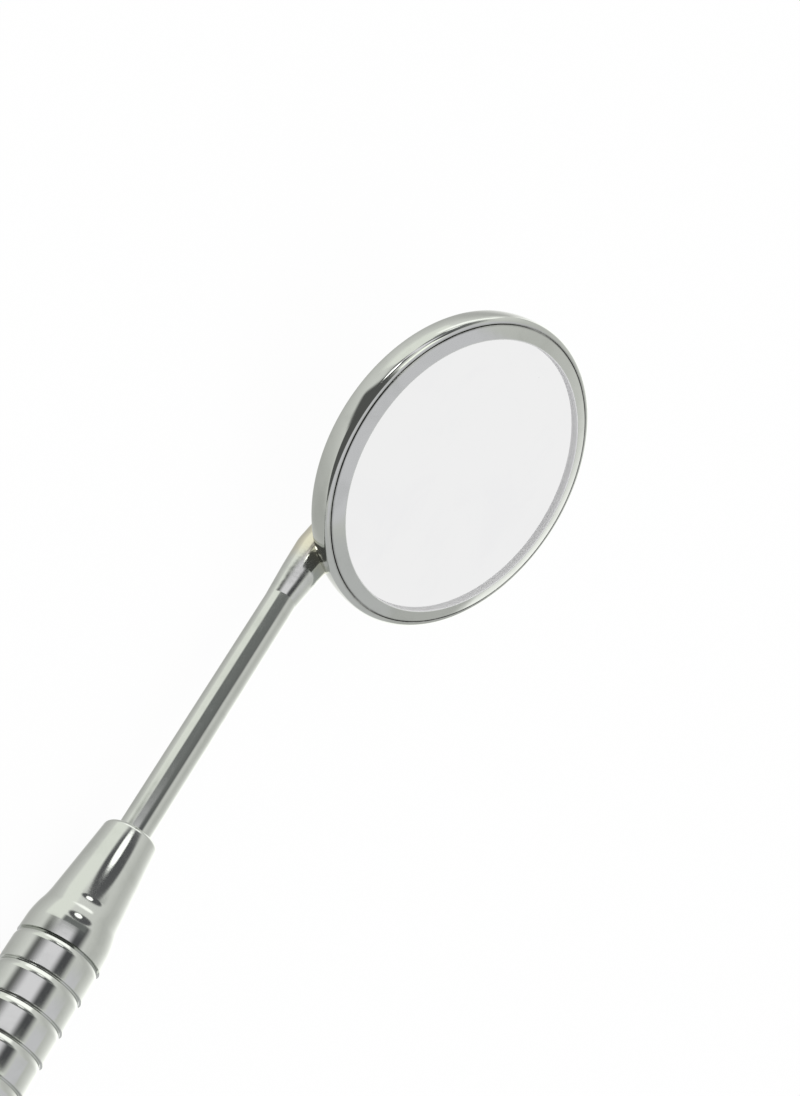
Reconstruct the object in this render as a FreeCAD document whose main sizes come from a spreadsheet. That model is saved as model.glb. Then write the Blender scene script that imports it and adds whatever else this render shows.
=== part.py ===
import FreeCAD, Part
import os
import re
import Sketcher
from FreeCAD import Placement, Rotation, Vector
from math import atan2, sqrt

# Mouth mirror: a round glass, silvered on its front face and held in a two-piece steel head, a bent stem
# brazed to the back of the head, and a hollow ringed handle whose nose takes the thread of the stem.
# Frame: millimetres, X along the axis of the handle towards the head, Z up, and the origin on that axis
# at the flat end of the handle's tail. The mirror faces up and back towards the hand. Every body is
# drawn from the tip of the nose, where the stem enters the handle, and its Placement moves it there.

doc = FreeCAD.newDocument("MouthMirror")

# ---------------------------------------------------------------------------------------- dimensions

sheet = doc.addObject("Spreadsheet::Sheet", "Sizes")

drivingSizes = [
    # the head, as radii and thicknesses about the axis of the mirror face
    ("view_radius", 10.9, "radius of the mirror seen inside the bezel"),
    ("bezel_radius", 12.0, "outer radius of the bezel ring, which fills the cup"),
    ("bezel_skirt", 0.4, "thickness of the bezel's skirt around the glass"),
    ("lip_rise", 0.35, "height of the lip's inner edge above the seam with the cup"),
    ("lip_edge", 0.4, "thickness of the lip at its inner edge"),
    ("cup_wall", 0.5, "thickness of the cup's drawn sheet"),
    ("cup_corner", 0.9, "outer radius of the corner between the cup's wall and floor"),
    ("glass_depth", 1.3, "thickness of the mirror glass"),
    ("glass_gap", 0.1, "clearance around the edge of the glass"),
    ("silver_depth", 0.06, "thickness of the mirror coating on the glass's front face"),
    ("pad_depth", 0.35, "thickness of the sealing pad under the glass"),
    ("skirt_gap", 0.05, "clearance of the bezel's skirt above the cup's inside corner"),
    ("seam_bevel", 0.08, "bevel of the bezel at its seam with the cup"),
    # where the head stands on the handle's axis
    ("face_angle", 24.5, "angle between the mirror face and the handle's axis, in degrees"),
    ("head_reach", 35.2, "distance along the axis from the nose to the centre of the seam plane"),
    ("head_rise", 8.3, "height of that centre above the axis"),
    # the stem
    ("stem_radius", 1.175, "radius of the wire"),
    ("stem_seat", 0.6, "height of the wire's axis off the back of the cup"),
    ("stem_lap", 6.0, "length of wire that lies along the back of the cup past the bend"),
    ("bend_radius", 10.0, "radius of the bend at the head"),
    ("thread_swell", 0.075, "how far the thread stands off the wire"),
    ("thread_depth", 0.27, "depth of the thread"),
    ("thread_pitch", 0.45, "pitch of the thread"),
    ("thread_length", 4.0, "length of the thread"),
    ("thread_start", 5.0, "distance from the nose's tip to the thread"),
    ("stem_point", 0.5, "length of the plain point below the thread"),
    ("solder_swell", 0.35, "how far the braze stands off the wire"),
    ("solder_reach", 2.4, "length of the braze each way from its thickest place"),
    # the handle
    ("handle_radius", 3.0, "outer radius of the handle"),
    ("handle_length", 120.0, "length from the nose's tip to the tail"),
    ("tube_bore", 2.2, "radius of the tube's bore"),
    ("tip_radius", 1.95, "radius of the nose at its tip"),
    ("tip_round", 0.35, "rounding of the nose's tip"),
    ("cone_length", 6.3, "length of the nose's cone"),
    ("cone_radius", 2.6, "radius where the cone meets the shoulder"),
    ("shoulder_length", 1.2, "length of the shoulder behind the cone"),
    ("shoulder_radius", 2.9, "radius where the shoulder meets the handle"),
    ("shoulder_round", 6.0, "rounding of both ends of the shoulder"),
    ("nose_length", 9.2, "length of the nose up to its seam with the tube"),
    ("spigot_length", 8.0, "length of the nose's spigot inside the tube"),
    ("socket_depth", 12.0, "depth of the threaded socket"),
    ("thread_clearance", 0.05, "radial clearance of the thread in its socket"),
    ("ring_pitch", 2.25, "distance between the grip's ring grooves"),
    ("ring_count", 18, "number of ring grooves, the seam included"),
    ("groove_depth", 0.18, "depth of a ring groove"),
    ("groove_ramp", 0.5, "length of a groove's sloping side"),
    ("cap_length", 3.2, "length of the tail cap outside the tube"),
    ("cap_round", 1.5, "rounding of the tail around its flat end"),
    ("cap_spigot", 5.0, "length of the tail cap's spigot inside the tube"),
]

derivedSizes = [
    ("lip_under", "=lip_rise - lip_edge", "height of the lip's underside, which is the mirror's face"),
    ("glass_radius", "=bezel_radius - bezel_skirt - glass_gap", "radius of the glass and the pad"),
    ("silver_back", "=lip_under - silver_depth", "height of the coating's back, on the glass"),
    ("glass_back", "=silver_back - glass_depth", "height of the glass's back"),
    ("floor_top", "=glass_back - pad_depth", "height of the cup's floor inside"),
    ("cup_back", "=floor_top - cup_wall", "height of the cup's back"),
    ("cup_radius", "=bezel_radius + cup_wall", "outer radius of the cup"),
    ("bend_up", "=head_rise + (cup_back - stem_seat) / cos(face_angle)",
     "height of the lapped wire's axis where it passes under the face's centre"),
    ("bend_at", "=head_reach - bend_up / tan(face_angle)", "place on the axis where the stem turns"),
    ("bend_leg", "=bend_radius * tan(face_angle / 2)", "length that the bend takes off each run"),
    ("stem_end", "=thread_start + thread_length + stem_point", "depth of the stem's end in the socket"),
    ("thread_radius", "=stem_radius + thread_swell", "outer radius of the stem's thread"),
    ("socket_radius", "=thread_radius + thread_clearance", "radius of the socket"),
    ("tube_end", "=handle_length - cap_length", "distance from the nose's tip to the tube's end"),
]

for row, (alias, value, note) in enumerate(drivingSizes + derivedSizes, start=1):
    sheet.set("A%d" % row, note)
    sheet.set("B%d" % row, str(value))
    sheet.setAlias("B%d" % row, alias)
doc.recompute()


def size(expression):
    """The present value of an expression in the sheet's aliases."""
    return float(sheet.evalExpression(expression))


def bound(expression):
    """The same expression as another object writes it: every alias holds an underscore."""
    return re.sub(r"[a-z]+_[a-z]+", r"Sizes.\g<0>", expression)


# ------------------------------------------------------------------------------------------- helpers

def newBody(label):
    body = doc.addObject("PartDesign::Body", label)
    body.Label = label
    return body


def originPlane(body, role):
    return next(item for item in body.Origin.OriginFeatures if item.Role == role)


def newSketch(body, name, role="XZ_Plane", across="0", up="0", turn="0"):
    """A sketch on one of the body's own planes, moved in that plane and turned by an angle."""
    sketch = body.newObject("Sketcher::SketchObject", name)
    sketch.AttachmentSupport = [(originPlane(body, role), "")]
    sketch.MapMode = "FlatFace"
    sketch.AttachmentOffset = Placement(Vector(0, 0, 0), Rotation(Vector(0, 0, 1), 0))
    if across != "0":
        sketch.setExpression("AttachmentOffset.Base.x", bound(across))
        sketch.setExpression("AttachmentOffset.Base.y", bound(up))
        sketch.setExpression("AttachmentOffset.Rotation.Angle", bound(turn))
    return sketch


def arcCentre(start, end, radius):
    """Centre of the short arc from start to end; a positive radius runs counterclockwise."""
    chord = end - start
    across = Vector(-chord.y, chord.x, 0).normalize()
    reach = sqrt(max(radius ** 2 - (chord.Length / 2) ** 2, 0))
    return (start + end) / 2 + across * (reach if radius > 0 else -reach)


def addOutline(sketch, corners, closed=True):
    """Lines and arcs through the corners, each an (across, up) pair of expressions.

    A third expression is the radius of the arc that arrives at that corner: counterclockwise if
    positive, clockwise if it starts with a minus sign."""
    points = [Vector(size(corner[0]), size(corner[1]), 0) for corner in corners]
    count = len(corners)
    ends = []
    for index in range(count if closed else count - 1):
        target = (index + 1) % count
        start, end = points[index], points[target]
        if len(corners[target]) == 2:
            edge = sketch.addGeometry(Part.LineSegment(start, end))
            ends.append((edge, 1, edge, 2))
            continue
        radiusText = corners[target][2]
        centre = arcCentre(start, end, size(radiusText))
        clockwise = radiusText.startswith("-")
        first, last = (end, start) if clockwise else (start, end)
        angles = [atan2(point.y - centre.y, point.x - centre.x) for point in (first, last)]
        circle = Part.Circle(centre, Vector(0, 0, 1), abs(size(radiusText)))
        edge = sketch.addGeometry(Part.ArcOfCircle(circle, angles[0], angles[1]))
        ends.append((edge, 2, edge, 1) if clockwise else (edge, 1, edge, 2))
        bindDatum(sketch, ("Radius", edge), radiusText.lstrip("-"))
    for index in range(len(ends) if closed else len(ends) - 1):
        following = ends[(index + 1) % len(ends)]
        sketch.addConstraint(Sketcher.Constraint("Coincident", *ends[index][2:], *following[:2]))
    fixed = [(end[0], end[1]) for end in ends]
    if not closed:
        fixed.append(ends[-1][2:])
    for place, corner in zip(fixed, corners):
        for kind, text, axis in (("DistanceX", corner[0], -2), ("DistanceY", corner[1], -1)):
            if text == "0":
                sketch.addConstraint(Sketcher.Constraint("PointOnObject", *place, axis))
            else:
                bindDatum(sketch, (kind, -1, 1, *place), text)


def bindDatum(sketch, constraint, text):
    index = sketch.addConstraint(Sketcher.Constraint(*constraint, size(text)))
    sketch.setExpression("Constraints[%d]" % index, bound(text))


def turned(body, name, kind, sketch, axis):
    """A Revolution or Groove of the sketch, all the way around one of its own axes."""
    feature = body.newObject("PartDesign::" + kind, name)
    feature.Profile = sketch
    feature.ReferenceAxis = (sketch, [axis])
    feature.Angle = 360
    doc.recompute()
    return feature


def turnedOutline(body, name, corners, axis="H_Axis", kind="Revolution", **place):
    sketch = newSketch(body, name + "Outline", **place)
    addOutline(sketch, corners)
    return turned(body, name, kind, sketch, axis)


def repeatedAlongAxis(body, feature, name, length, occurrences):
    """Copies of a groove along the handle, towards the tail."""
    pattern = body.newObject("PartDesign::LinearPattern", name)
    pattern.Originals = [feature]
    pattern.Direction = (feature.Profile[0], ["H_Axis"])
    pattern.Reversed = True
    pattern.setExpression("Length", bound(length))
    pattern.setExpression("Occurrences", bound(occurrences))
    body.Tip = pattern
    doc.recompute()
    return pattern


def roundedCircles(body, base, name, radius, circles):
    """Rounds the circular edges of a turned piece that lie at the given (along, radius) places."""
    wanted = [(size(along), size(around)) for along, around in circles]
    edges = []
    for number, edge in enumerate(base.Shape.Edges, start=1):
        if edge.Curve.TypeId != "Part::GeomCircle":
            continue
        for along, around in wanted:
            if abs(edge.Curve.Center.x - along) < 0.01 and abs(edge.Curve.Radius - around) < 0.01:
                edges.append("Edge%d" % number)
    fillet = body.newObject("PartDesign::Fillet", name)
    fillet.Base = (base, edges)
    fillet.setExpression("Radius", bound(radius))
    doc.recompute()
    return fillet


def placeOnAxis(body):
    """Moves a piece drawn from the nose's tip to its place in front of the tail."""
    body.setExpression("Placement.Base.x", bound("handle_length"))
    return body


def placeInHead(piece, height="0"):
    """Stands a piece on the axis of the mirror face, at a height above the seam plane."""
    piece.Placement = Placement(Vector(0, 0, 0), Rotation(Vector(0, -1, 0), size("face_angle")))
    piece.setExpression("Placement.Base.x",
                        bound("handle_length + head_reach - (%s) * sin(face_angle)" % height))
    piece.setExpression("Placement.Base.z", bound("head_rise + (%s) * cos(face_angle)" % height))
    piece.setExpression("Placement.Rotation.Angle", bound("face_angle"))
    return piece


def addDisc(label, radius, depth, bottom):
    disc = doc.addObject("Part::Cylinder", label)
    disc.Label = label
    disc.setExpression("Radius", bound(radius))
    disc.setExpression("Height", bound(depth))
    return placeInHead(disc, bottom)


# ---------------------------------------------------------------------------------------------- head

cupOutside = [
    ("0", "cup_back"),
    ("cup_radius - cup_corner", "cup_back"),
    ("cup_radius", "cup_back + cup_corner", "cup_corner"),
]

headPlace = dict(across="head_reach", up="head_rise", turn="face_angle")


def buildHeadCup():
    body = newBody("head_cup")
    turnedOutline(body, "Cup", cupOutside + [
        ("cup_radius", "-cup_wall"),
        ("bezel_radius", "0", "cup_wall"),
        ("bezel_radius", "floor_top + cup_corner - cup_wall"),
        ("bezel_radius - cup_corner + cup_wall", "floor_top", "-(cup_corner - cup_wall)"),
        ("0", "floor_top"),
    ], axis="V_Axis")
    return placeInHead(body)


def buildBezelRing():
    body = newBody("bezel_ring")
    skirtBottom = "floor_top + cup_corner - cup_wall + skirt_gap"
    turnedOutline(body, "Bezel", [
        ("view_radius", "lip_under"),
        ("bezel_radius - bezel_skirt", "lip_under"),
        ("bezel_radius - bezel_skirt", skirtBottom),
        ("bezel_radius", skirtBottom),
        ("bezel_radius", "-seam_bevel"),
        ("bezel_radius - seam_bevel", "0"),
        ("view_radius", "lip_rise"),
    ], axis="V_Axis")
    return placeInHead(body)


def copeToCup(body):
    """Cuts away what would stand inside the outside of the cup, so the piece seats on its back."""
    return turnedOutline(body, "Cope", cupOutside + [
        ("cup_radius", "0"),
        ("0", "0"),
    ], axis="V_Axis", kind="Groove", **headPlace)


# ---------------------------------------------------------------------------------------------- stem

def addWire(body, name, kind):
    """The wire from the nose's tip, around the bend, to where it laps the back of the cup."""
    section = newSketch(body, name + "Section", role="YZ_Plane")
    circle = Part.Circle(Vector(0, 0, 0), Vector(0, 0, 1), size("stem_radius"))
    edge = section.addGeometry(circle)
    section.addConstraint(Sketcher.Constraint("Coincident", edge, 3, -1, 1))
    bindDatum(section, ("Radius", edge), "stem_radius")
    route = newSketch(body, name + "Route")
    addOutline(route, [
        ("0", "0"),
        ("bend_at - bend_leg", "0"),
        ("bend_at + bend_leg * cos(face_angle)", "bend_leg * sin(face_angle)", "bend_radius"),
        ("bend_at + stem_lap * cos(face_angle)", "stem_lap * sin(face_angle)"),
    ], closed=False)
    pipe = body.newObject("PartDesign::%sPipe" % kind, name)
    pipe.Profile = section
    pipe.Spine = route
    doc.recompute()
    return pipe


def buildStem():
    body = newBody("stem")
    threadEnd = "-(thread_start + thread_length)"
    turnedOutline(body, "Shank", [
        ("-stem_end", "0"),
        ("0", "0"),
        ("0", "stem_radius"),
        ("-thread_start", "stem_radius"),
        ("-thread_start", "thread_radius"),
        (threadEnd, "thread_radius"),
        ("-stem_end", "thread_radius - thread_depth"),
    ])
    addWire(body, "Wire", "Additive")
    end = body.newObject("PartDesign::AdditiveSphere", "WireEnd")
    end.AttachmentSupport = [(originPlane(body, "XZ_Plane"), "")]
    end.MapMode = "FlatFace"
    end.setExpression("AttachmentOffset.Base.x", bound("bend_at + stem_lap * cos(face_angle)"))
    end.setExpression("AttachmentOffset.Base.y", bound("stem_lap * sin(face_angle)"))
    end.setExpression("Radius", bound("stem_radius"))
    doc.recompute()
    copeToCup(body)
    groove = turnedOutline(body, "ThreadGroove", [
        ("-(thread_start + thread_pitch / 2)", "thread_radius - thread_depth"),
        ("-(thread_start + thread_pitch / 16)", "thread_radius"),
        ("-(thread_start + thread_pitch / 16)", "thread_radius + thread_depth"),
        ("-(thread_start + thread_pitch * 15 / 16)", "thread_radius + thread_depth"),
        ("-(thread_start + thread_pitch * 15 / 16)", "thread_radius"),
    ], kind="Groove")
    turns = "floor(thread_length / thread_pitch)"
    repeatedAlongAxis(body, groove, "Thread", "(%s - 1) * thread_pitch" % turns, turns)
    return placeOnAxis(body)


def buildSolderFillet():
    body = newBody("solder_fillet")
    endRadius = "stem_radius * 3 / 4"
    crown = "(stem_radius / 4 + solder_swell)"
    turnedOutline(body, "Braze", [
        ("-solder_reach", "0"),
        ("solder_reach", "0"),
        ("solder_reach", endRadius),
        ("-solder_reach", endRadius, "(solder_reach ^ 2 + %s ^ 2) / (2 * %s)" % (crown, crown)),
    ],
        across="bend_at - bend_leg + bend_radius * sin(face_angle / 2)",
        up="bend_radius * (1 - cos(face_angle / 2))",
        turn="face_angle / 2")
    addWire(body, "WireHole", "Subtractive")
    copeToCup(body)
    return placeOnAxis(body)


# -------------------------------------------------------------------------------------------- handle

def buildNoseSocket():
    body = newBody("nose_socket")
    noseEnd = "-(nose_length + spigot_length)"
    shoulderEnd = "-(cone_length + shoulder_length)"
    nose = turnedOutline(body, "Nose", [
        ("0", "socket_radius"),
        ("0", "tip_radius"),
        ("-cone_length", "cone_radius"),
        (shoulderEnd, "shoulder_radius"),
        ("-nose_length", "handle_radius"),
        ("-nose_length", "tube_bore"),
        (noseEnd, "tube_bore"),
        (noseEnd, "0"),
        ("-socket_depth", "0"),
        ("-socket_depth", "socket_radius"),
    ])
    tip = roundedCircles(body, nose, "TipRound", "tip_round", [("0", "tip_radius")])
    roundedCircles(body, tip, "ShoulderRound", "shoulder_round",
                   [("-cone_length", "cone_radius"), (shoulderEnd, "shoulder_radius")])
    return placeOnAxis(body)


def buildHandleTube():
    body = newBody("handle_tube")
    turnedOutline(body, "Tube", [
        ("-nose_length", "tube_bore"),
        ("-nose_length", "handle_radius - groove_depth"),
        ("-(nose_length + groove_ramp)", "handle_radius"),
        ("-tube_end", "handle_radius"),
        ("-tube_end", "tube_bore"),
    ])
    firstGroove = "-(nose_length + ring_pitch)"
    groove = turnedOutline(body, "RingGroove", [
        (firstGroove, "handle_radius - groove_depth"),
        (firstGroove, "handle_radius + groove_depth"),
        ("%s - 2 * groove_ramp" % firstGroove, "handle_radius + groove_depth"),
    ], kind="Groove")
    repeatedAlongAxis(body, groove, "Rings", "(ring_count - 2) * ring_pitch", "ring_count - 1")
    return placeOnAxis(body)


def buildEndCap():
    body = newBody("end_cap")
    spigotEnd = "-(tube_end - cap_spigot)"
    turnedOutline(body, "Cap", [
        (spigotEnd, "0"),
        (spigotEnd, "tube_bore"),
        ("-tube_end", "tube_bore"),
        ("-tube_end", "handle_radius"),
        ("-(handle_length - cap_round)", "handle_radius"),
        ("-handle_length", "handle_radius - cap_round", "cap_round"),
        ("-handle_length", "0"),
    ])
    return placeOnAxis(body)


# ------------------------------------------------------------------------------------------ assembly

pieces = [
    buildHeadCup(),
    buildBezelRing(),
    addDisc("mirror_glass", "glass_radius", "glass_depth", "glass_back"),
    addDisc("silver_layer", "glass_radius", "silver_depth", "silver_back"),
    addDisc("backing_pad", "glass_radius", "pad_depth", "floor_top"),
    buildStem(),
    buildSolderFillet(),
    buildNoseSocket(),
    buildHandleTube(),
    buildEndCap(),
]
doc.recompute()

for item in doc.Objects:
    if "Invalid" in item.State or "Error" in item.State:
        raise RuntimeError("%s did not rebuild: %s" % (item.Name, item.State))
for piece in pieces:
    if piece.Shape.isNull() or not piece.Shape.isValid() or not piece.Shape.Solids:
        raise RuntimeError("%s has no valid solid" % piece.Label)

os.makedirs("parts", exist_ok=True)
for piece in pieces:
    piece.Shape.exportStep("parts/%s.step" % piece.Label)
    box = piece.Shape.BoundBox
    print("%-14s solids %d  volume %9.3f  x %.2f..%.2f  z %.2f..%.2f" % (
        piece.Label, len(piece.Shape.Solids), piece.Shape.Volume,
        box.XMin, box.XMax, box.ZMin, box.ZMax))
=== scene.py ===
from math import acos, cos, pi, radians, sin, tan
import bmesh
import bpy
from mathutils import Matrix, Vector


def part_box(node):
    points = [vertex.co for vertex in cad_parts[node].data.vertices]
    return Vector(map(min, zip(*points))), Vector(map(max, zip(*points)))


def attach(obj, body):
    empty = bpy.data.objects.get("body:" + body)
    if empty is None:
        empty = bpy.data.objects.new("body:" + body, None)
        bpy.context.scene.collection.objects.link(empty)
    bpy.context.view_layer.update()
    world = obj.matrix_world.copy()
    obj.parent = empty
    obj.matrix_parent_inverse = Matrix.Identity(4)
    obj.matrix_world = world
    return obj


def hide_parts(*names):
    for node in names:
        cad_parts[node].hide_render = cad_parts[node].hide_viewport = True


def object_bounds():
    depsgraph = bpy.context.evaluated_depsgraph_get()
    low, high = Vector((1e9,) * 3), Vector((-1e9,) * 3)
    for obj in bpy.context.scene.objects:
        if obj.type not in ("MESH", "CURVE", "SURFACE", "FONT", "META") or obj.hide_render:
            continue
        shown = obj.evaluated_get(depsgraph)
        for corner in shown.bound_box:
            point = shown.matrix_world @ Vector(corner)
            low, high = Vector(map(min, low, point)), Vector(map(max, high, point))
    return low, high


# Mouth mirror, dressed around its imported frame. Metres, +X along the handle towards the head, +Z up.
# The sizes in the dictionaries are millimetres.

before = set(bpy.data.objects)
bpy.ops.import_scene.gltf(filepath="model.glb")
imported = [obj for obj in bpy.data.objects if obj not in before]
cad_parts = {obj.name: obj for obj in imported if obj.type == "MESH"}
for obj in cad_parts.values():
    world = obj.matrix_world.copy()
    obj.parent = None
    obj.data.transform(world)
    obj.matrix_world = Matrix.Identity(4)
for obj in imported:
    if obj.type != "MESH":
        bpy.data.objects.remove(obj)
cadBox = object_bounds()
mm = 0.001
print("frame loaded:", ", ".join(sorted(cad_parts)))


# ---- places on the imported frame

head = {
    "faceAngle": radians(24.5),  # the mirror's face leans back towards the hand by this much
    "glassMiddle": 0.76,         # depth of the glass disc's middle below the seam of rim and cup
}

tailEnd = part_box("end_cap")[0].x
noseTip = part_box("nose_socket")[1].x
handleAxis = Vector((1, 0, 0))
handleCentre = Vector((0, 0, 0))
faceAcross = Vector((cos(head["faceAngle"]), 0, sin(head["faceAngle"])))
faceNormal = Vector((-sin(head["faceAngle"]), 0, cos(head["faceAngle"])))
glassLow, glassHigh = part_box("mirror_glass")
seamCentre = (glassLow + glassHigh) / 2 + faceNormal * head["glassMiddle"] * mm


def onHandle(along, radius):
    return Vector((noseTip + along * mm, 0, radius * mm))  # along is measured from the nose's tip


def onHead(radius, height):
    return seamCentre + faceAcross * radius * mm + faceNormal * height * mm


# ---- turning and bending, as on a lathe and a jig

shop = {
    "turnSteps": 256,     # facets round a turned piece
    "cornerSteps": 7,     # segments in a rounded corner
    "smoothAngle": radians(32),
    "weld": 1e-7,
}


def editPiece(piece):
    bpy.ops.object.select_all(action="DESELECT")
    bpy.context.view_layer.objects.active = piece
    piece.select_set(True)
    bpy.ops.object.mode_set(mode="EDIT")


def leaveEdit():
    bpy.ops.object.mode_set(mode="OBJECT")


def drawLine(name, corners, place, closed=True):
    # a vertex is extruded from corner to corner; a corner's third number is the radius it is rounded to
    points = [place(corner[0], corner[1]) for corner in corners]
    bpy.ops.object.select_all(action="DESELECT")
    bpy.ops.mesh.primitive_plane_add(size=mm, location=points[0])
    piece = bpy.context.object
    piece.name = name
    piece.data.name = name
    bpy.ops.object.mode_set(mode="EDIT")
    bpy.ops.mesh.select_all(action="SELECT")
    bpy.ops.mesh.merge(type="CENTER")
    route = points + points[:1] if closed else points
    for here, there in zip(route, route[1:]):
        bpy.ops.mesh.extrude_region_move(TRANSFORM_OT_translate={"value": there - here})
    bpy.ops.mesh.select_all(action="SELECT")
    bpy.ops.mesh.remove_doubles(threshold=shop["weld"])
    leaveEdit()
    bpy.ops.object.transform_apply(location=True)
    editPiece(piece)
    for number, corner in enumerate(corners):
        if len(corner) == 3:
            here = points[number]
            before = (points[number - 1] - here).normalized()
            after = (points[(number + 1) % len(points)] - here).normalized()
            opening = acos(max(-1, min(1, before.dot(after))))
            roundCorner(piece, here, corner[2] * mm / tan(opening / 2))
    leaveEdit()
    return piece


def roundCorner(piece, here, setBack):
    mesh = bmesh.from_edit_mesh(piece.data)
    for vertex in mesh.verts:
        vertex.select = (vertex.co - here).length < shop["weld"] * 5
    mesh.select_flush_mode()
    bmesh.update_edit_mesh(piece.data)
    bpy.ops.mesh.bevel(offset=setBack, offset_type="OFFSET", segments=shop["cornerSteps"],
                       affect="VERTICES", clamp_overlap=True)


def turnLine(piece, centre, axis, steps=None):
    editPiece(piece)
    bpy.ops.mesh.select_all(action="SELECT")
    bpy.ops.mesh.spin(steps=steps or shop["turnSteps"], angle=2 * pi, center=centre, axis=axis)
    closeShell(piece)
    return piece


def closeShell(piece):
    if piece.mode != "EDIT":
        editPiece(piece)
    bpy.ops.mesh.select_all(action="SELECT")
    bpy.ops.mesh.remove_doubles(threshold=shop["weld"])
    bpy.ops.mesh.normals_make_consistent(inside=False)
    leaveEdit()
    bpy.ops.object.shade_smooth_by_angle(angle=shop["smoothAngle"])


def turnedOnHandle(name, corners, steps=None):
    return turnLine(drawLine(name, corners, onHandle), handleCentre, handleAxis, steps)


def turnedOnHead(name, corners):
    return turnLine(drawLine(name, corners, onHead), seamCentre, faceNormal)


# ---- head: cup, bezel, glass and silver

cup = {
    "wallRadius": 12.5,
    "seamRadius": 12.0,    # where the bezel sits in the cup
    "floorRadius": 11.15,  # the flat of the back
    "back": -2.26,
    "floor": -1.76,
}


def buildHeadCup():
    wall, seam, back = cup["wallRadius"], cup["seamRadius"], cup["back"]
    return turnedOnHead("headCup", [
        (0, back),
        (cup["floorRadius"], back, 4.0),
        (wall - 0.24, back + 0.04, 0.5),
        (wall + 0.03, back + 1.02, 3.6),
        (wall - 0.03, -0.05, 0.42),
        (seam + 0.01, -0.02, 0.04),
        (seam, cup["floor"] + 0.4),
        (seam - 0.4, cup["floor"], 0.3),
        (0, cup["floor"]),
    ])


bezel = {
    "outerRadius": 12.0,
    "viewRadius": 10.9,
    "lipRise": 0.35,     # height of the lip's inner edge
    "lipUnder": -0.055,  # where the lip rests on the mirror, a hair inside it
    "skirt": 0.4,
    "skirtBottom": -1.31,
    "seamWidth": 0.05,   # open line between the bezel and the cup
    "seamDepth": 0.3,
    "wallRadius": 10.93,  # inside this radius the ring is dull and pale, as blanking left it
}


def buildBezelRing():
    outer, view = bezel["outerRadius"], bezel["viewRadius"]
    seam = outer - bezel["seamWidth"]
    return turnedOnHead("bezelRing", [
        (view, bezel["lipUnder"]),
        (outer - bezel["skirt"], bezel["lipUnder"]),
        (outer - bezel["skirt"], bezel["skirtBottom"]),
        (outer, bezel["skirtBottom"]),
        (outer, -bezel["seamDepth"]),
        (seam, -bezel["seamDepth"]),
        (seam, 0.0, 0.06),
        (view, bezel["lipRise"], 0.09),
    ])


glass = {
    "radius": 11.5,
    "top": -0.105,     # a hair inside the coating
    "bottom": -1.41,
    "edge": 0.08,
}

silver = {
    "radius": 11.5,
    "top": -0.05,
    "bottom": -0.11,
}


def buildGlass():
    return turnedOnHead("mirrorGlass", [
        (0, glass["bottom"]),
        (glass["radius"], glass["bottom"], glass["edge"]),
        (glass["radius"], glass["top"], glass["edge"]),
        (0, glass["top"]),
    ])


def buildSilver():
    return turnedOnHead("silverLayer", [
        (0, silver["bottom"]),
        (silver["radius"], silver["bottom"]),
        (silver["radius"], silver["top"]),
        (0, silver["top"]),
    ])


# ---- stem and braze

stem = {
    "radius": 1.175,
    "inSocket": 9.0,       # length of the wire inside the nose
    "bendRadius": 10.0,
    "bendAt": 23.88,       # where the two straight runs would meet, from the nose's tip
    "lap": 6.0,            # length past that point, along the back of the cup
    "roundSteps": 96,
    "bendSteps": 24,
    "endSteps": 12,
}


def extrudeMove(step):
    bpy.ops.mesh.extrude_region_move(TRANSFORM_OT_translate={"value": step})


def buildStem():
    radius = stem["radius"] * mm
    turn = head["faceAngle"]
    leg = stem["bendRadius"] * tan(turn / 2)
    start = onHandle(-stem["inSocket"], 0)
    bpy.ops.object.select_all(action="DESELECT")
    bpy.ops.mesh.primitive_circle_add(vertices=stem["roundSteps"], radius=radius, location=start,
                                      rotation=(0, pi / 2, 0), fill_type="TRIFAN")
    piece = bpy.context.object
    piece.name = "stemWire"
    bpy.ops.object.transform_apply(location=True, rotation=True)
    bpy.ops.object.mode_set(mode="EDIT")
    bpy.ops.mesh.select_all(action="SELECT")
    extrudeMove(handleAxis * (stem["inSocket"] + stem["bendAt"] - leg) * mm)
    corner = onHandle(stem["bendAt"] - leg, stem["bendRadius"])
    bpy.ops.mesh.spin(steps=stem["bendSteps"], angle=turn, center=corner, axis=(0, 1, 0))
    extrudeMove(faceAcross * (stem["lap"] - leg) * mm)
    # the far end is domed in rings
    for ring in range(1, stem["endSteps"]):
        here, there = (pi / 2 * (ring + k) / stem["endSteps"] for k in (-1, 0))
        extrudeMove(faceAcross * radius * (sin(there) - sin(here)))
        bpy.ops.transform.resize(value=(cos(there) / cos(here),) * 3)
    closeShell(piece)
    return piece


braze = {
    "middle": (23.2, 0.12),   # along the handle's axis from the nose's tip, and up
    "lean": radians(3.5),
    "outline": [(6.2, 0.8), (4.8, 1.4, 2.0), (2.8, 1.58, 4.0), (0.3, 1.41, 12.0), (-5.6, 0.86)],
    "tintFrom": 0.4,          # it yellows from here towards the head, past its middle
    "tintTo": 2.4,
}


def buildBraze():
    middle = onHandle(*braze["middle"])
    along = Vector((cos(braze["lean"]), 0, sin(braze["lean"])))
    across = Vector((-sin(braze["lean"]), 0, cos(braze["lean"])))
    outline = braze["outline"]
    piece = drawLine("brazeFillet", [(outline[-1][0], 0), (outline[0][0], 0)] + outline,
                     lambda out, up: middle + along * out * mm + across * up * mm)
    return turnLine(piece, middle, along)


# ---- handle: nose, ringed tube and tail

nose = {
    "tipRadius": 1.95,
    "tipRound": 0.4,
    "coneLength": 6.3,
    "coneRadius": 2.6,
    "shoulderEnd": 7.5,
    "shoulderRadius": 2.97,
    "shoulderRound": 5.0,
    "length": 9.2,
    "spigot": 8.0,
    "bore": 1.3,
    "boreDepth": 12.0,
}


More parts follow.
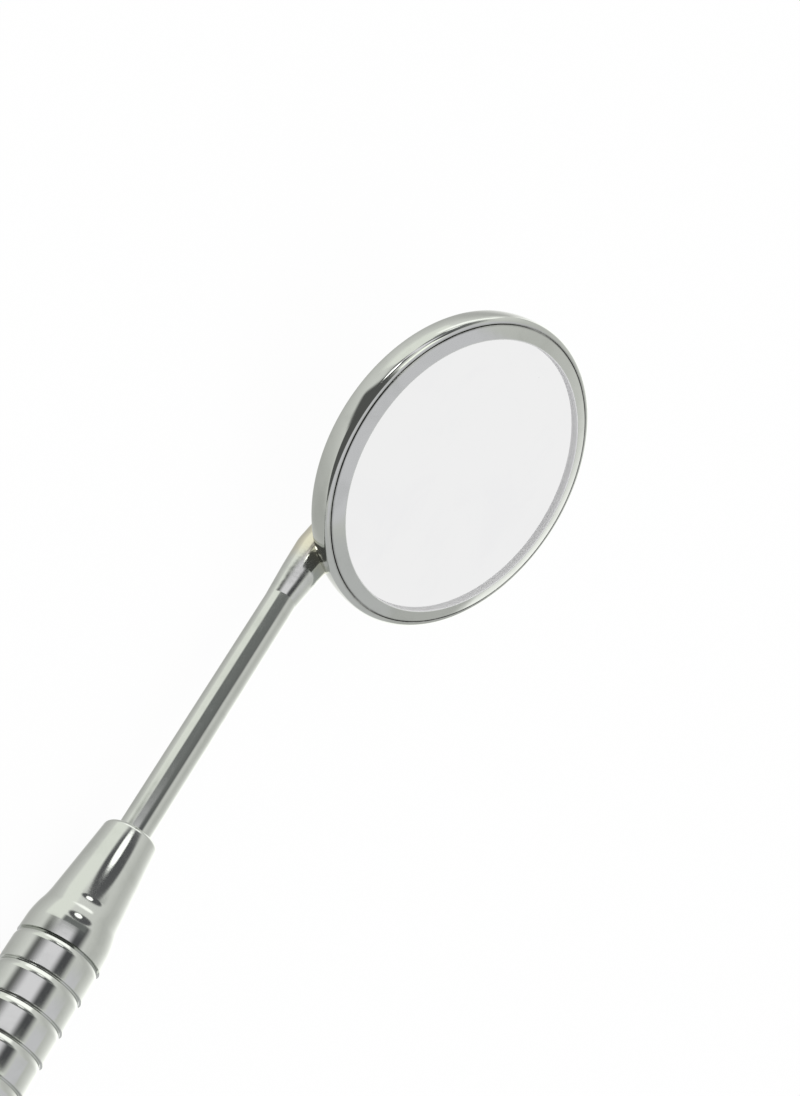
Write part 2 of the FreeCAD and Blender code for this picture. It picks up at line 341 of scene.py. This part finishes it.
def buildNose():
    end = -nose["length"]
    return turnedOnHandle("noseSocket", [
        (0, nose["bore"], 0.08),
        (0, nose["tipRadius"], nose["tipRound"]),
        (-nose["coneLength"], nose["coneRadius"], nose["shoulderRound"]),
        (-nose["shoulderEnd"], nose["shoulderRadius"], nose["shoulderRound"]),
        (end, tube["radius"]),
        (end, tube["bore"]),
        (end - nose["spigot"], tube["bore"], 0.3),
        (end - nose["spigot"], 0),
        (-nose["boreDepth"], 0),
        (-nose["boreDepth"], nose["bore"], 0.1),
    ])


tube = {
    "radius": 3.0,
    "bore": 2.2,
    "tailEnd": 116.8,     # from the nose's tip
    "rings": 18,
    "ringPitch": 2.25,
    "grooveDepth": 0.18,
    "grooveRamp": 0.45,
    "stepWidth": 0.05,
    "turnSteps": 208,     # fewer facets than the rest, because it has so many grooves
}


def buildTube():
    full, low = tube["radius"], tube["radius"] - tube["grooveDepth"]
    corners = [(-nose["length"], tube["bore"])]
    for ring in range(tube["rings"]):
        groove = -nose["length"] - ring * tube["ringPitch"]
        if ring:
            corners.append((groove + tube["stepWidth"], full, 0.05))
        corners.append((groove, low, 0.04))
        corners.append((groove - tube["grooveRamp"], full, 0.7))
    corners.append((-tube["tailEnd"], full, 0.06))
    corners.append((-tube["tailEnd"], tube["bore"]))
    return turnedOnHandle("ringedTube", corners, tube["turnSteps"])


tail = {
    "round": 1.5,
    "spigot": 5.0,
}


def buildTail():
    end = tube["tailEnd"]
    back = (noseTip - tailEnd) / mm
    return turnedOnHandle("tailCap", [
        (-back, 0),
        (-back, tube["radius"], tail["round"]),
        (-end, tube["radius"], 0.06),
        (-end, tube["bore"]),
        (tail["spigot"] - end, tube["bore"], 0.3),
        (tail["spigot"] - end, 0),
    ])


headCup = buildHeadCup()
bezelRing = buildBezelRing()
mirrorGlass = buildGlass()
silverLayer = buildSilver()
print("head turned")
stemWire = buildStem()
brazeFillet = buildBraze()
print("stem bent")
noseSocket = buildNose()
ringedTube = buildTube()
tailCap = buildTail()
print("handle turned")


# ---- finishes

def newGroup(name, inputs, outputs):
    group = bpy.data.node_groups.new(name, "ShaderNodeTree")
    for label, kind, value in inputs:
        socket = group.interface.new_socket(label, in_out="INPUT", socket_type="NodeSocket" + kind)
        if value is not None:
            socket.default_value = value
    for label, kind in outputs:
        group.interface.new_socket(label, in_out="OUTPUT", socket_type="NodeSocket" + kind)
    start = group.nodes.new("NodeGroupInput")
    end = group.nodes.new("NodeGroupOutput")
    return group, start.outputs, end.inputs


def feed(tree, socket, value):
    if isinstance(value, bpy.types.NodeSocket):
        tree.links.new(value, socket)
    else:
        socket.default_value = value


def feedByName(tree, node, values):
    for name, value in values.items():
        feed(tree, node.inputs[name.replace("_", " ")], value)
    return node


def addNode(tree, kind, settings=None, **values):
    node = tree.nodes.new("ShaderNode" + kind)
    for name, value in (settings or {}).items():
        setattr(node, name, value)
    return feedByName(tree, node, values)


def addMath(tree, operation, *values, clamp=False):
    node = tree.nodes.new("ShaderNodeMath")
    node.operation = operation
    node.use_clamp = clamp
    for socket, value in zip(node.inputs, values):
        feed(tree, socket, value)
    return node.outputs[0]


def remap(tree, value, low, high, newLow=0.0, newHigh=1.0):
    node = addNode(tree, "MapRange", {"interpolation_type": "SMOOTHSTEP"}, Value=value,
                   From_Min=low, From_Max=high, To_Min=newLow, To_Max=newHigh)
    return node.outputs["Result"]


def mixColours(tree, mask, first, second):
    node = tree.nodes.new("ShaderNodeMix")
    node.data_type = "RGBA"
    # a Mix node's colour sockets come after its number and vector ones
    for number, value in ((0, mask), (6, first), (7, second)):
        feed(tree, node.inputs[number], value)
    return node.outputs[2]


def radiusFromAxis(tree, place):
    flat = addNode(tree, "VectorMath", {"operation": "MULTIPLY"})
    feed(tree, flat.inputs[0], place)
    flat.inputs[1].default_value = (1, 1, 0)
    length = addNode(tree, "VectorMath", {"operation": "LENGTH"})
    feed(tree, length.inputs[0], flat.outputs[0])
    return length.outputs["Value"]


# polished metal is never quite flat: long soft waves and fine turning or drawing marks
def makePolishMarks():
    group, given, result = newGroup(
        "polishMarks",
        [("Vector", "Vector", None), ("Wave Size", "Float", 400.0), ("Mark Size", "Float", 9000.0),
         ("Stretch", "Vector", (1.0, 0.03, 0.03)), ("Waves", "Float", 0.5), ("Marks", "Float", 0.5)],
        [("Height", "Float")])
    waves = addNode(group, "TexNoise", Vector=given["Vector"], Scale=given["Wave Size"], Detail=1.5,
                    Roughness=0.45)
    stretched = addNode(group, "VectorMath", {"operation": "MULTIPLY"})
    group.links.new(given["Vector"], stretched.inputs[0])
    group.links.new(given["Stretch"], stretched.inputs[1])
    marks = addNode(group, "TexNoise", Vector=stretched.outputs[0], Scale=given["Mark Size"], Detail=3.0,
                    Roughness=0.6)
    waveHeight = addMath(group, "MULTIPLY", waves.outputs["Fac"], given["Waves"])
    markHeight = addMath(group, "MULTIPLY", marks.outputs["Fac"], given["Marks"])
    group.links.new(addMath(group, "ADD", waveHeight, markHeight), result["Height"])
    return group


# faint smears and small dull specks left by hands and cloths
def makeHandling():
    group, given, result = newGroup(
        "handling",
        [("Vector", "Vector", None), ("Smear Size", "Float", 260.0), ("Speck Size", "Float", 2600.0),
         ("Speck Level", "Float", 0.72)],
        [("Smears", "Float"), ("Specks", "Float")])
    smears = addNode(group, "TexNoise", Vector=given["Vector"], Scale=given["Smear Size"], Detail=4.0,
                     Roughness=0.62, Distortion=0.7)
    group.links.new(remap(group, smears.outputs["Fac"], 0.45, 0.68), result["Smears"])
    specks = addNode(group, "TexNoise", Vector=given["Vector"], Scale=given["Speck Size"], Detail=2.0,
                     Roughness=0.5)
    level = addMath(group, "SUBTRACT", specks.outputs["Fac"], given["Speck Level"])
    group.links.new(addMath(group, "MULTIPLY", level, 18.0, clamp=True), result["Specks"])
    return group


# painted shade along a seam, broken up like polishing residue: a dark band between two radii about the
# piece's own axis
def makeSeamShadeAndResidue():
    group, given, result = newGroup(
        "seamShadeAndResidue",
        [("Vector", "Vector", None), ("Radius", "Float", 0.012), ("Width", "Float", 0.00013),
         ("Grain Size", "Float", 2500.0)],
        [("Mask", "Float")])
    offset = addMath(group, "SUBTRACT", radiusFromAxis(group, given["Vector"]), given["Radius"])
    share = addMath(group, "DIVIDE", addMath(group, "ABSOLUTE", offset), given["Width"])
    near = addMath(group, "SUBTRACT", 1.0, share, clamp=True)
    grain = addNode(group, "TexNoise", Vector=given["Vector"], Scale=given["Grain Size"], Detail=3.0)
    broken = remap(group, grain.outputs["Fac"], 0.3, 0.7, 0.6, 0.85)
    group.links.new(addMath(group, "MULTIPLY", near, broken), result["Mask"])
    return group


polishMarks = makePolishMarks()
handling = makeHandling()
seamShadeAndResidue = makeSeamShadeAndResidue()


def useGroup(tree, group, **values):
    node = tree.nodes.new("ShaderNodeGroup")
    node.node_tree = group
    return feedByName(tree, node, values)


def newMaterial(name):
    material = bpy.data.materials.new(name)
    material.use_nodes = True
    tree = material.node_tree
    tree.nodes.clear()
    surface = tree.nodes.new("ShaderNodeBsdfPrincipled")
    output = tree.nodes.new("ShaderNodeOutputMaterial")
    tree.links.new(surface.outputs[0], output.inputs["Surface"])
    return material, tree, surface


def ownPlace(tree, centre=(0, 0, 0), turn=0.0):
    # the piece's own coordinates, centred and turned so that +Z is its axis
    place = addNode(tree, "TexCoord").outputs["Object"]
    mapping = addNode(tree, "Mapping", {"vector_type": "TEXTURE"}, Vector=place)
    mapping.inputs["Location"].default_value = centre
    mapping.inputs["Rotation"].default_value = (0, turn, 0)
    return mapping.outputs["Vector"]


steel = {
    "colour": (0.615, 0.635, 0.60, 1),
    "smearColour": (0.575, 0.595, 0.56, 1),
    "smearRoughness": 0.05,
    "speckRoughness": 0.12,
    # dark colour of the painted shade along the seam between cup and bezel, and that seam's radius on each
    # piece
    "seamShadeColour": (0.19, 0.19, 0.185, 1),
    "seamShadeRadius": {"headCup": 12.02, "bezelRing": 11.96},
    "wallColour": (0.76, 0.76, 0.765, 1),
    "wallRoughness": 0.5,
    "wallFade": 0.06,      # the wall's dullness ends over this much radius
    "bump": 0.000006,      # metres
}

steelFinishes = {
    "headCup": {"roughness": 0.07, "waves": 1.7, "marks": 0.06, "waveSize": 330.0,
                "stretch": (0.06, 0.06, 1.0)},
    "bezelRing": {"roughness": 0.10, "waves": 0.5, "marks": 0.12, "waveSize": 900.0,
                  "stretch": (0.06, 0.06, 1.0)},
    "stemWire": {"roughness": 0.09, "waves": 1.3, "marks": 0.16, "waveSize": 380.0,
                 "stretch": (0.05, 1.0, 1.0)},
    "noseSocket": {"roughness": 0.07, "waves": 0.35, "marks": 0.05, "waveSize": 300.0,
                   "stretch": (1.0, 0.05, 0.05)},
    "ringedTube": {"roughness": 0.08, "waves": 0.4, "marks": 0.08, "waveSize": 420.0,
                   "stretch": (1.0, 0.05, 0.05)},
    "tailCap": {"roughness": 0.08, "waves": 0.4, "marks": 0.06, "waveSize": 300.0,
                "stretch": (1.0, 0.05, 0.05)},
}


def headPlace(tree):
    return ownPlace(tree, seamCentre, -head["faceAngle"])


def addBump(tree, surface, height, distance):
    bump = addNode(tree, "Bump", Height=height, Distance=distance)
    bump.inputs["Strength"].default_value = 1.0
    tree.links.new(bump.outputs["Normal"], surface.inputs["Normal"])


def steelFinish(name):
    look = steelFinishes[name]
    material, tree, surface = newMaterial(name + "Steel")
    place = headPlace(tree) if name in steel["seamShadeRadius"] else ownPlace(tree)
    polish = useGroup(tree, polishMarks, Vector=place, Wave_Size=look["waveSize"],
                      Stretch=look["stretch"], Waves=look["waves"], Marks=look["marks"])
    hands = useGroup(tree, handling, Vector=place)
    colour = mixColours(tree, hands.outputs["Smears"], steel["colour"], steel["smearColour"])
    smearRough = addMath(tree, "MULTIPLY", hands.outputs["Smears"], steel["smearRoughness"])
    speckRough = addMath(tree, "MULTIPLY", hands.outputs["Specks"], steel["speckRoughness"])
    rough = addMath(tree, "ADD", addMath(tree, "ADD", look["roughness"], smearRough), speckRough)
    if name in steel["seamShadeRadius"]:
        # the seam between cup and bezel is darkened here with painted shade, broken up like residue
        seamShadeNode = useGroup(tree, seamShadeAndResidue, Vector=place, Radius=steel["seamShadeRadius"][name] * mm)
        colour = mixColours(tree, seamShadeNode.outputs["Mask"], colour, steel["seamShadeColour"])
    height = polish.outputs["Height"]
    if name == "bezelRing":
        # the blanked inner wall is dull and even
        dullTo, brightFrom = bezel["wallRadius"] * mm, (bezel["wallRadius"] + steel["wallFade"]) * mm
        wall = remap(tree, radiusFromAxis(tree, place), dullTo, brightFrom, 1.0, 0.0)
        colour = mixColours(tree, wall, colour, steel["wallColour"])
        rough = addMath(tree, "MAXIMUM", rough, addMath(tree, "MULTIPLY", wall, steel["wallRoughness"]))
        polished = addMath(tree, "SUBTRACT", 1.0, wall)
        height = addMath(tree, "MULTIPLY", height, polished)
        tree.links.new(polished, surface.inputs["Metallic"])
    tree.links.new(colour, surface.inputs["Base Color"])
    tree.links.new(rough, surface.inputs["Roughness"])
    surface.inputs["Metallic"].default_value = 1.0
    addBump(tree, surface, height, steel["bump"])
    return material


clearGlass = {
    "colour": (1, 1, 1, 1),
    "speckColour": (0.72, 0.72, 0.72, 1),
    "speckRoughness": 0.3,
    "ior": 1.52,
}


def glassFinish():
    material, tree, surface = newMaterial("clearGlass")
    hands = useGroup(tree, handling, Vector=headPlace(tree), Speck_Size=1500.0, Speck_Level=0.79)
    specks = hands.outputs["Specks"]
    colour = mixColours(tree, specks, clearGlass["colour"], clearGlass["speckColour"])
    tree.links.new(colour, surface.inputs["Base Color"])
    rough = addMath(tree, "MULTIPLY", specks, clearGlass["speckRoughness"])
    tree.links.new(rough, surface.inputs["Roughness"])
    surface.inputs["IOR"].default_value = clearGlass["ior"]
    surface.inputs["Transmission Weight"].default_value = 1.0
    return material


silvering = {
    "colour": (0.955, 0.955, 0.955, 1),
    "smearColour": (0.94, 0.94, 0.945, 1),
    "speckColour": (0.45, 0.45, 0.46, 1),
    "speckRoughness": 0.2,
}


def silverFinish():
    material, tree, surface = newMaterial("silvering")
    hands = useGroup(tree, handling, Vector=headPlace(tree), Smear_Size=120.0, Speck_Size=1900.0,
                     Speck_Level=0.8)
    specks = hands.outputs["Specks"]
    colour = mixColours(tree, hands.outputs["Smears"], silvering["colour"], silvering["smearColour"])
    colour = mixColours(tree, specks, colour, silvering["speckColour"])
    tree.links.new(colour, surface.inputs["Base Color"])
    rough = addMath(tree, "MULTIPLY", specks, silvering["speckRoughness"])
    tree.links.new(rough, surface.inputs["Roughness"])
    surface.inputs["Metallic"].default_value = 1.0
    return material


sealingPad = {
    "grainSize": 3000.0,
    "darkColour": (0.32, 0.31, 0.30, 1),
    "paleColour": (0.42, 0.41, 0.39, 1),
    "roughness": 0.7,
    "bump": 0.00002,
}


def padFinish():
    material, tree, surface = newMaterial("sealingPad")
    grain = addNode(tree, "TexNoise", Vector=ownPlace(tree), Scale=sealingPad["grainSize"], Detail=3.0)
    colour = mixColours(tree, grain.outputs["Fac"], sealingPad["darkColour"], sealingPad["paleColour"])
    tree.links.new(colour, surface.inputs["Base Color"])
    surface.inputs["Roughness"].default_value = sealingPad["roughness"]
    addBump(tree, surface, grain.outputs["Fac"], sealingPad["bump"])
    return material


silverBraze = {
    "tintColour": (0.70, 0.67, 0.54, 1),
    "roughness": 0.10,
    "smearRoughness": 0.1,
    "flowSize": 900.0,
    "bump": 0.00001,
}


def brazeFinish():
    material, tree, surface = newMaterial("silverBraze")
    place = ownPlace(tree)
    flow = addNode(tree, "TexNoise", Vector=place, Scale=silverBraze["flowSize"], Detail=2.0,
                   Roughness=0.5)
    hands = useGroup(tree, handling, Vector=place, Smear_Size=700.0)
    colour = mixColours(tree, hands.outputs["Smears"], steel["colour"], steel["smearColour"])
    along = addNode(tree, "SeparateXYZ", Vector=place).outputs["X"]
    start = noseTip + braze["middle"][0] * mm
    tint = remap(tree, along, start + braze["tintFrom"] * mm, start + braze["tintTo"] * mm)
    colour = mixColours(tree, tint, colour, silverBraze["tintColour"])
    tree.links.new(colour, surface.inputs["Base Color"])
    smearRough = addMath(tree, "MULTIPLY", hands.outputs["Smears"], silverBraze["smearRoughness"])
    rough = addMath(tree, "ADD", silverBraze["roughness"], smearRough)
    tree.links.new(rough, surface.inputs["Roughness"])
    surface.inputs["Metallic"].default_value = 1.0
    addBump(tree, surface, flow.outputs["Fac"], silverBraze["bump"])
    return material


def dress(piece, material, slotName, body, *nodes):
    piece.data.materials.clear()
    piece.data.materials.append(material)
    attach(piece, body)
    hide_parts(*nodes)


def dressNode(name, material):
    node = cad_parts[name]
    node.data.materials.clear()
    node.data.materials.append(material)


dress(headCup, steelFinish("headCup"), "polished_steel", "mirror", "head_cup")
dress(bezelRing, steelFinish("bezelRing"), "polished_steel", "mirror", "bezel_ring")
dress(mirrorGlass, glassFinish(), "glass", "mirror", "mirror_glass")
dress(silverLayer, silverFinish(), "silver", "mirror", "silver_layer")
dress(stemWire, steelFinish("stemWire"), "polished_steel", "mirror", "stem")
dress(noseSocket, steelFinish("noseSocket"), "polished_steel", "handle", "nose_socket")
dress(ringedTube, steelFinish("ringedTube"), "polished_steel", "handle", "handle_tube")
dress(tailCap, steelFinish("tailCap"), "polished_steel", "handle", "end_cap")
dressNode("backing_pad", padFinish())
dress(brazeFillet, brazeFinish(), "braze", "mirror", "solder_fillet")
print("pieces finished and fitted")


# ---- floor, light and camera

studio = {
    "floorSize": 3.0,
    "floorColour": (0.96, 0.96, 0.96, 1),
    "floorGlow": 0.95,     # share of the floor that shows as plain white, where the rest takes the shadow
    "floorMiddle": 0.08,   # along the handle from its tail
    "floorRoughness": 0.8,
    "skyStrength": 1.6,    # brightness of a tone of 1
    "skyBlue": 0.98,       # blue in the room's tones, as a share of the red and green
}

# How bright the room is in polished metal, round the handle's axis: (degrees from +Y up, brightness).
roomTones = [
    (-180, 0.95), (-156, 0.86), (-132, 0.50), (-114, 0.36), (-96, 0.375), (-72, 0.445),
    (-60, 0.50), (-42, 0.575), (0, 0.59), (84, 0.525), (96, 0.49), (114, 0.43),
    (132, 0.46), (144, 0.53), (156, 0.63), (180, 0.95),
]

# Cards stood round the piece, as the metal shows them, painted over each other in this order. "along" is
# the lean towards the head and "turn" goes about the handle's axis from +Y up, both in degrees, each from
# one edge to the other. "soft" is how far the two pairs of edges fade; a turn of 0 there makes an oval.
cards = [
    {"name": "hand", "along": (-95, -12), "turn": (-46, 84),
     "soft": (9, 12), "tone": (0.075, 0.075, 0.075)},
    {"name": "arm", "along": (-16, 9), "turn": (-50, 34),
     "soft": (6, 8), "tone": (0.075, 0.075, 0.075)},
    {"name": "tableNear", "along": (-95, -8), "turn": (128, 190),
     "soft": (5, 8), "tone": (0.41, 0.41, 0.42)},
    {"name": "tableFar", "along": (-95, -8), "turn": (-190, -128),
     "soft": (5, 8), "tone": (0.41, 0.41, 0.42)},
    {"name": "rail", "along": (-60, 16), "turn": (88, 124),
     "soft": (6, 5), "tone": (0.50, 0.49, 0.525)},
    {"name": "leftGlow", "along": (22, 60), "turn": (-48, 4),
     "soft": (2, 14), "tone": (0.68, 0.69, 0.655)},
    {"name": "sleeve", "along": (8, 21.8), "turn": (-28, 10),
     "soft": (2, 20), "tone": (0.11, 0.11, 0.11)},
    {"name": "paper", "along": (8, 21.8), "turn": (-2, 60),
     "soft": (2, 34), "tone": (0.63, 0.61, 0.65)},
    {"name": "stand", "along": (6, 31), "turn": (48, 78),
     "soft": (4, 20), "tone": (0.06, 0.06, 0.065)},
    {"name": "lens", "along": (21.8, 31), "turn": (2, 70),
     "soft": (2, 12), "tone": (0.13, 0.135, 0.135)},
    {"name": "hood", "along": (30.6, 41.5), "turn": (-2, 80),
     "soft": (0.25, 0), "tone": (0.08, 0.08, 0.085)},
    {"name": "lamp", "along": (34.8, 40.0), "turn": (18, 45),
     "soft": (0.3, 0), "tone": (1.3, 1.3, 1.28)},
    {"name": "window", "along": (50, 66), "turn": (-30, 66),
     "soft": (3, 12), "tone": (1.0, 1.0, 0.98)},
    {"name": "bulb", "along": (-5, 9), "turn": (-12, 16),
     "soft": (0.4, 0), "tone": (2.4, 2.4, 2.4)},
    {"name": "tube", "along": (-11, 8), "turn": (58, 84),
     "soft": (3, 6), "tone": (0.95, 0.97, 0.9)},
    {"name": "shelf", "along": (-12, 8), "turn": (146, 178),
     "soft": (4, 6), "tone": (0.38, 0.38, 0.375)},
    {"name": "ceiling", "along": (-9, 7), "turn": (119, 143),
     "soft": (3, 5), "tone": (0.565, 0.565, 0.565)},
]


def floorFinish():
    material, tree, surface = newMaterial("paleFloor")
    surface.inputs["Base Color"].default_value = studio["floorColour"]
    surface.inputs["Roughness"].default_value = studio["floorRoughness"]
    glow = tree.nodes.new("ShaderNodeEmission")
    glow.inputs["Color"].default_value = (1, 1, 1, 1)
    glow.inputs["Strength"].default_value = 1.0
    ray = tree.nodes.new("ShaderNodeLightPath")
    seen = addMath(tree, "MAXIMUM", ray.outputs["Is Camera Ray"], ray.outputs["Is Glossy Ray"])
    seen = addMath(tree, "MAXIMUM", seen, ray.outputs["Is Transmission Ray"])
    mix = tree.nodes.new("ShaderNodeMixShader")
    tree.links.new(addMath(tree, "MULTIPLY", seen, studio["floorGlow"]), mix.inputs[0])
    tree.links.new(surface.outputs[0], mix.inputs[1])
    tree.links.new(glow.outputs[0], mix.inputs[2])
    tree.links.new(mix.outputs[0], tree.nodes["Material Output"].inputs["Surface"])
    return material


def buildFloor():
    bpy.ops.object.select_all(action="DESELECT")
    bpy.ops.mesh.primitive_plane_add(size=studio["floorSize"],
                                     location=(studio["floorMiddle"], 0, cadBox[0].z))
    floor = bpy.context.object
    floor.name = "studioFloor"
    floor.data.materials.append(floorFinish())
    floor.visible_glossy = False  # polished metal shows the room of the sky below instead
    return floor


def cardMask(tree, along, turn, card):
    if card["soft"][1] == 0:
        # an oval card, its soft edge a share of its half width
        parts = []
        for value, (low, high) in ((along, card["along"]), (turn, card["turn"])):
            offset = addMath(tree, "SUBTRACT", value, (low + high) / 2)
            parts.append(addMath(tree, "POWER", addMath(tree, "DIVIDE", offset, (high - low) / 2), 2))
        away = addMath(tree, "SQRT", addMath(tree, "ADD", *parts))
        return remap(tree, away, 1 - card["soft"][0], 1.0, 1.0, 0.0)
    mask = 1.0
    for value, (low, high), soft in ((along, card["along"], card["soft"][0]),
                                     (turn, card["turn"], card["soft"][1])):
        mask = addMath(tree, "MULTIPLY", mask, remap(tree, value, low - soft / 2, low + soft / 2))
        mask = addMath(tree, "MULTIPLY", mask, remap(tree, value, high - soft / 2, high + soft / 2, 1.0, 0.0))
    return mask


def buildSky():
    world = bpy.data.worlds.new("softStudio")
    bpy.context.scene.world = world
    world.use_nodes = True
    tree = world.node_tree
    tree.nodes.clear()
    direction = addNode(tree, "SeparateXYZ", Vector=addNode(tree, "TexCoord").outputs["Generated"])
    x, y, z = (direction.outputs[name] for name in "XYZ")
    along = addMath(tree, "MULTIPLY", addMath(tree, "ARCSINE", x), 180 / pi)
    turn = addMath(tree, "MULTIPLY", addMath(tree, "ARCTAN2", z, y), 180 / pi)
    ramp = tree.nodes.new("ShaderNodeValToRGB")
    tree.links.new(addMath(tree, "ADD", addMath(tree, "DIVIDE", turn, 360), 0.5), ramp.inputs["Fac"])
    stops = ramp.color_ramp.elements
    for angle, tone in roomTones[1:-1]:
        stops.new(angle / 360 + 0.5).color = (tone, tone, tone * studio["skyBlue"], 1)
    for stop, (angle, tone) in zip((stops[0], stops[-1]), (roomTones[0], roomTones[-1])):
        stop.color = (tone, tone, tone * studio["skyBlue"], 1)
    colour = ramp.outputs["Color"]
    for card in cards:
        colour = mixColours(tree, cardMask(tree, along, turn, card), colour, card["tone"] + (1,))
    ray = tree.nodes.new("ShaderNodeLightPath")
    plain = addMath(tree, "MAXIMUM", ray.outputs["Is Camera Ray"], ray.outputs["Is Diffuse Ray"])
    white = 1 / studio["skyStrength"]
    colour = mixColours(tree, plain, colour, (white, white, white, 1))
    background = addNode(tree, "Background", Color=colour, Strength=studio["skyStrength"])
    output = tree.nodes.new("ShaderNodeOutputWorld")
    tree.links.new(background.outputs[0], output.inputs["Surface"])
    return world


camera = {
    "place": (73.551, 93.097, 73.082),
    "right": (0.43131, -0.27097, 0.86055),
    "forward": (0.54361, -0.68319, -0.48758),
    "lens": 62.134,
    "sensor": 36.0,
    "clipStart": 5.0,
}


def buildCamera():
    data = bpy.data.cameras.new("studioCamera")
    data.sensor_width = camera["sensor"]
    data.lens = camera["lens"]
    data.clip_start = camera["clipStart"] * mm
    item = bpy.data.objects.new("studioCamera", data)
    bpy.context.scene.collection.objects.link(item)
    right = Vector(camera["right"]).normalized()
    back = -Vector(camera["forward"]).normalized()
    up = back.cross(right)
    turn = Matrix((right, up, back)).transposed().to_4x4()
    item.matrix_world = Matrix.Translation(Vector(camera["place"]) * mm) @ turn
    bpy.context.scene.camera = item


buildFloor()
buildSky()
buildCamera()
bpy.context.scene.view_settings.view_transform = "Standard"
print("studio ready")
